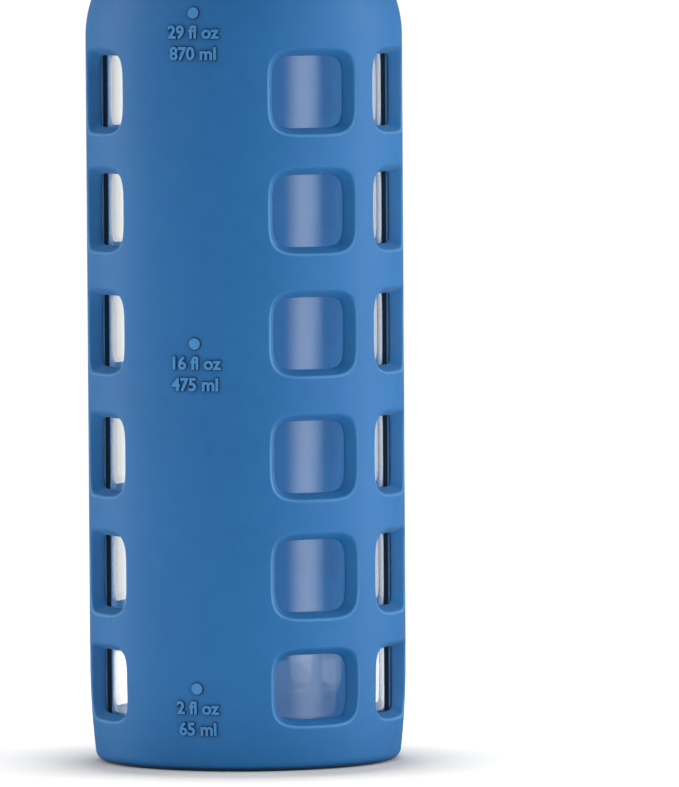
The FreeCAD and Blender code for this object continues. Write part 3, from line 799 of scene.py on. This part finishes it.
def silicone_material():
    """Matte moulded silicone: a fine grain, faint mottling and a soft sheen at grazing angles, with painted
    shade in its creases, painted highlights on its lower window lips and a painted glow inside where it is
    seen through the glass.
    """
    nodes = Surface("blue_silicone")
    mottled = nodes.mix(nodes.patches(0.0, 1.0, 14, 3), SLEEVE_BLUE, SLEEVE_MOTTLE)
    clouded = nodes.mix(nodes.patches(0.0, 0.35, 220, 4), mottled, SLEEVE_CLOUD)
    # Painted highlight on the windows' lower lips.
    worn = nodes.mix(lip_highlight_mask(nodes), clouded, SLEEVE_LIP_HIGHLIGHT)
    # Painted shade: the creases where the sleeve meets the glass are darkened by how little open air is round
    # them.
    crease = nodes.add("ShaderNodeAmbientOcclusion", samples=6, Distance=CREASE_REACH)
    behind_glass = nodes.behind_glass()
    crease_unshaded = nodes.maths("MAXIMUM", nodes.spread(crease.outputs["AO"], *CREASE_OPEN), behind_glass)
    # Painted glow: the wall's inside gives off a little light where it is seen through the glass, in place of
    # light soaking through the silicone.
    rise = nodes.spread(nodes.part(nodes.place, "Z"), *GLOW_HEIGHTS, kind="SMOOTHSTEP")
    grain = nodes.bump(nodes.noise(*SILICONE_GRAIN), 0.16, SILICONE_GRAIN_DEPTH)
    nodes.set(
        Base_Color=nodes.mix(crease_unshaded, SLEEVE_CREASE_SHADE, worn),
        Roughness=nodes.patches(0.50, 0.62, 900, 3),
        Normal=nodes.bump(nodes.noise(55), 0.22, 0.5 * MM, grain),
        Emission_Color=nodes.mix(GLOW_TINT_SHARE, clouded, SLEEVE_GLOW_TINT),
        Emission_Strength=nodes.times(behind_glass, PAINTED_WALL_GLOW, rise),
        Specular_IOR_Level=0.42,
        Sheen_Weight=0.2,
        Sheen_Roughness=0.3,
        Sheen_Tint=SLEEVE_SHEEN,
    )
    return nodes.material


def mark_material():
    """The sleeve's silicone where it is raised into marks: paler on top, with painted shade down the sides.
    """
    nodes = Surface("mark_silicone")
    top = nodes.spread(nodes.facing_out(), *MARK_TOP_TILT)
    nodes.set(
        Base_Color=nodes.mix(top, MARK_SIDE_SHADE, nodes.mix(nodes.patches(0.0, 1.0, 500, 3), *MARK_TOPS)),
        Roughness=nodes.patches(0.42, 0.54, 900, 3),
        Normal=nodes.bump(nodes.noise(*SILICONE_GRAIN), 0.12, SILICONE_GRAIN_DEPTH),
        Specular_IOR_Level=0.4,
    )
    return nodes.material


def glass_material():
    """Clear glass with a faint waviness. It is painted near-black where the line of sight runs along the
    wall, as painted shade, and pale again at the very rim. Shadow rays pass straight through, so that light
    reaches what is inside."""
    nodes = Surface("clear_glass")
    nodes.set(
        Base_Color=nodes.mix(nodes.patches(0.0, 1.0, 25), *GLASS_TINGES),
        Normal=nodes.bump(nodes.noise(40), 0.03, 0.4 * MM),
        Roughness=0.0,
        IOR=1.47,
        Transmission_Weight=1.0,
    )
    facing = nodes.add("ShaderNodeLayerWeight", Blend=0.5).outputs["Facing"]
    outside = nodes.maths("GREATER_THAN", nodes.axis_distance(), GLASS_R - GLASS_WALL / 2)
    dark = nodes.times(nodes.band(facing, *GLASS_DARK), outside)
    # Painted shade: a near-black surface where the glass is seen edge-on.
    edge = nodes.add("ShaderNodeBsdfDiffuse", Color=GLASS_PAINTED_DARK).outputs["BSDF"]
    painted_dark_glass = nodes.mix_shaders(dark, nodes.shader.outputs["BSDF"], edge)
    clear = nodes.add("ShaderNodeBsdfTransparent", Color=GLASS_SHADOW).outputs["BSDF"]
    lighting = nodes.maths("MAXIMUM", nodes.rays["Is Shadow Ray"], nodes.rays["Is Diffuse Ray"])
    nodes.feed(nodes.output.inputs["Surface"], nodes.mix_shaders(lighting, painted_dark_glass, clear))
    return nodes.material


def plastic_material(name, shade, pale, worn):
    """Satin moulded plastic: a fine spark-eroded grain, faint flow marks, and paler edges where hands have
    rubbed it."""
    nodes = Surface(name)
    flow = nodes.mix(nodes.patches(0.0, 1.0, 35, 4), shade, pale)
    rubbed = nodes.times(nodes.outward_edges(EDGE_WEAR), nodes.patches(0.1, 0.7, 260, 4, 0.65))
    grain = nodes.bump(nodes.noise(5200, 2, 0.6), 0.2, 0.04 * MM)
    nodes.set(
        Base_Color=nodes.mix(rubbed, flow, worn),
        Roughness=nodes.patches(0.36, 0.5, 700, 3),
        Normal=nodes.bump(nodes.noise(60), 0.15, 0.3 * MM, grain),
        Specular_IOR_Level=0.45,
    )
    return nodes.material


def seal_material():
    """Milky translucent silicone with a matte skin and a few specks of dust."""
    nodes = Surface("milky_silicone")
    milky = nodes.mix(nodes.patches(0.0, 1.0, 90, 3), *SEAL_MILKS)
    nodes.set(
        Base_Color=nodes.mix(nodes.patches(0.0, 0.12, 2400), milky, SEAL_DUST),
        Roughness=nodes.patches(0.42, 0.58, 600),
        Normal=nodes.bump(nodes.noise(3000), 0.2, 0.04 * MM),
        Subsurface_Weight=0.35,
        Subsurface_Scale=1.0 * MM,
    )
    return nodes.material


def steel_material(name, axis, stretch=None):
    """Brushed stainless steel: fine lines drawn out by a stretch, or else spun round the bottle's axis."""
    nodes = Surface(name)
    if stretch is None:
        place = nodes.add("ShaderNodeCombineXYZ", X=nodes.axis_distance(), Z=nodes.part(nodes.place, "Z"))
    else:
        place = nodes.add("ShaderNodeMapping", Vector=nodes.place, Scale=stretch)
    brush = nodes.noise(6000, 3, place=place.outputs[0])
    tone = nodes.mix(nodes.ramp(brush, 0.0, 1.0), *STEELS)
    nodes.set(
        Base_Color=nodes.mix(nodes.patches(0.0, 0.25, 120, 3), tone, STEEL_SMUDGE),
        Roughness=nodes.ramp(brush, 0.2, 0.34),
        Normal=nodes.bump(brush, 0.12, 0.02 * MM),
        Tangent=nodes.add("ShaderNodeTangent", direction_type="RADIAL", axis=axis).outputs[0],
        Metallic=1.0,
        Anisotropic=0.5,
    )
    return nodes.material


def dress(node, material):
    """Gives a carried-over CAD node its material."""
    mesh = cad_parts[node].data
    mesh.materials.clear()
    mesh.materials.append(material)


# --- Stage, light and camera ----------------------------------------------------------------------

CAMERA_AZIMUTH = math.radians(20.5)
CAMERA_DISTANCE = 2.707
CAMERA_HEIGHT = 0.2467
CAMERA_PITCH = math.radians(3.09)
CAMERA_ROLL = math.radians(-0.36)
SIDE_SHIFT = 0.0257            # how far the bottle's axis stands left of the middle of the view
VIEW_HEIGHT = 0.2164           # what the view takes in, top to bottom, at the bottle
SENSOR = 36.0
CLIP_END = 50
FLOOR_R = 0.4
FLOOR_RINGS = 4
FLOOR_STEPS = 64
FLOOR_GLOW = 0.68
SHADE_SHIFT = 0.014            # how far the painted shade on the floor leans towards the camera
ROOM_SEEN = 1.05
ROOM_LIGHT = 0.44
ROOM_REFLECTED = 0.08
ROOM_BEHIND_GLASS = 0.03
BACKDROP_FADE_DEG = (32, 48)   # how far off the view's axis the room behind glass goes from white to dim
LIGHT_TARGET = Vector((0, 0, 0.11))
HUMP_GAIN = 30.0               # makes up for the light that the fading edges take away
LIGHTS = (                     # degrees round from the camera, height, distance, width, tallness, radiance
    ("strip_right", 49, 0.25, 1.6, 1.1, 1.5, 1.3),
    ("side_right", 97, 0.45, 1.5, 1.2, 1.4, 2.5),
    ("side_left", -105, 0.45, 1.6, 1.1, 1.4, 2.3),
    ("front_left", -48, 0.55, 2.0, 1.1, 1.4, 0.7),
    ("overhead", 30, 2.2, 0.5, 1.2, 1.4, 0.9),
)
SEEN_THROUGH_GLASS = "strip_right"              # the only light that shows through the glass


def paper_material():
    """Matt paper that also gives off a little light, which fades out towards the bottle: a painted shadow
    round its foot.
    Seen through the glass, the paper under the bottle is painted the dark blue of the sleeve round it, as
    painted shade."""
    nodes = Surface("paper_floor")
    distance = nodes.vectors("DISTANCE", nodes.place, on_wall(SHADE_SHIFT, CAMERA_AZIMUTH, 0))
    # Painted shadow: the paper's glow fades out towards the bottle's foot.
    nearness = nodes.maths("DIVIDE", FOOT_R, distance)
    away = nodes.maths("MAXIMUM", nodes.maths("SUBTRACT", 1.0, nodes.times(nearness, nearness)), 0.0)
    # Painted shade: under the bottle, paper seen through the glass takes the sleeve's dark blue.
    painted_under_bottle = nodes.times(nodes.behind_glass(), nodes.maths("LESS_THAN", distance, FOOT_R))
    paper = nodes.mix(nodes.patches(0.985, 1.0, 30, 3), (0, 0, 0), PAPER)
    nodes.set(
        Base_Color=nodes.mix(painted_under_bottle, paper, PAPER_PAINTED_SHADE),
        Roughness=0.9,
        Specular_IOR_Level=0.0,
        Emission_Color=(1, 1, 1),
        Emission_Strength=nodes.times(away, FLOOR_GLOW),
    )
    return nodes.material


def build_floor():
    """A small round sheet of paper; past its edge the white room takes over."""
    outline = split_line((0, 0), (FLOOR_R, 0), FLOOR_RINGS) + [(FLOOR_R, 0)]
    floor = make_object("floor", *lathe_mesh(outline, even_angles(FLOOR_STEPS)), paper_material())
    floor.visible_glossy = False     # so that it doesn't turn the lowest windows milky


def soften_edges(data):
    """Fades a soft box towards its upright edges, so that its reflection has no hard border."""
    nodes = Nodes(data)
    across = nodes.part(nodes.add("ShaderNodeNewGeometry").outputs["Parametric"], "X")
    hump = nodes.times(across, nodes.maths("SUBTRACT", 1.0, across))
    nodes.feed(nodes.tree.nodes["Emission"].inputs["Strength"], nodes.times(hump, hump, HUMP_GAIN))


def area_light(name, azimuth_deg, height, distance, width, tall, radiance):
    """A soft box that faces the bottle, at an angle round from the camera."""
    data = bpy.data.lights.new(name, "AREA")
    data.shape = "RECTANGLE"
    data.size = width
    data.size_y = tall
    data.energy = radiance * math.pi * width * tall
    soften_edges(data)
    light = bpy.data.objects.new(name, data)
    bpy.context.scene.collection.objects.link(light)
    light.location = on_wall(distance, CAMERA_AZIMUTH + math.radians(azimuth_deg), height)
    light.rotation_euler = (LIGHT_TARGET - light.location).to_track_quat("-Z", "Y").to_euler()
    light.visible_camera = False
    light.visible_transmission = name == SEEN_THROUGH_GLASS


def build_world():
    """A white room for the camera. Behind glass only the part straight ahead is white, and in reflections
    all of it is dim; as a light the room is even and soft."""
    world = bpy.data.worlds.new("white_room")
    bpy.context.scene.world = world
    nodes = Nodes(world)
    rays = nodes.add("ShaderNodeLightPath").outputs
    direction = nodes.add("ShaderNodeTexCoord").outputs["Generated"]
    from_camera = nodes.add("ShaderNodeVectorTransform", direction, vector_type="VECTOR",
                            convert_from="WORLD", convert_to="CAMERA").outputs["Vector"]
    white, dim = [math.cos(math.radians(degrees)) for degrees in BACKDROP_FADE_DEG]
    ahead = nodes.part(from_camera, "Z")
    strength = nodes.spread(ahead, dim, white, ROOM_BEHIND_GLASS, 1.0, "SMOOTHSTEP")
    for flag, brightness in (
        ("Is Camera Ray", ROOM_SEEN),
        ("Is Reflection Ray", ROOM_REFLECTED),
        ("Is Diffuse Ray", ROOM_LIGHT),
    ):
        strength = nodes.mix(rays[flag], strength, brightness, "FLOAT")
    background = nodes.tree.nodes["Background"]
    nodes.feed(background.inputs["Strength"], strength)
    nodes.feed(background.inputs["Color"], (1, 1, 1))


def build_camera():
    """A long lens, level with the bottle's neck, that looks slightly down at its lower part."""
    data = bpy.data.cameras.new("camera")
    data.sensor_width = SENSOR
    data.lens = SENSOR * CAMERA_DISTANCE / VIEW_HEIGHT
    data.clip_end = CLIP_END
    camera = bpy.data.objects.new("camera", data)
    bpy.context.scene.collection.objects.link(camera)
    camera.location = on_wall(CAMERA_DISTANCE, CAMERA_AZIMUTH, CAMERA_HEIGHT)
    side_turn = math.atan(SIDE_SHIFT / CAMERA_DISTANCE)
    heading = Matrix.Rotation(CAMERA_AZIMUTH - side_turn, 4, "Z")
    pitch = Matrix.Rotation(math.pi / 2 - CAMERA_PITCH, 4, "X")
    roll = Matrix.Rotation(CAMERA_ROLL, 4, "Z")
    camera.rotation_euler = (heading @ pitch @ roll).to_euler()
    bpy.context.scene.camera = camera


# --- Put it together ------------------------------------------------------------------------------

build_sleeve(silicone_material())
build_marks(mark_material())
build_glass(glass_material())
lid_plastic = plastic_material("lid_plastic", *LID_BLUES)
build_lid_cover(lid_plastic)
dress("carry_handle", lid_plastic)
dress("lid_core", plastic_material("core_plastic", *CORE_BLUES))
dress("lid_seal", seal_material())
dress("steel_insert", steel_material("spun_steel", "Z"))
pin_steel = steel_material("pin_steel", "X", stretch=PIN_STRETCH)
dress("left_pivot_pin", pin_steel)
dress("right_pivot_pin", pin_steel)

build_floor()
build_world()
for light in LIGHTS:
    area_light(*light)
build_camera()
bpy.context.scene.view_settings.view_transform = "Standard"
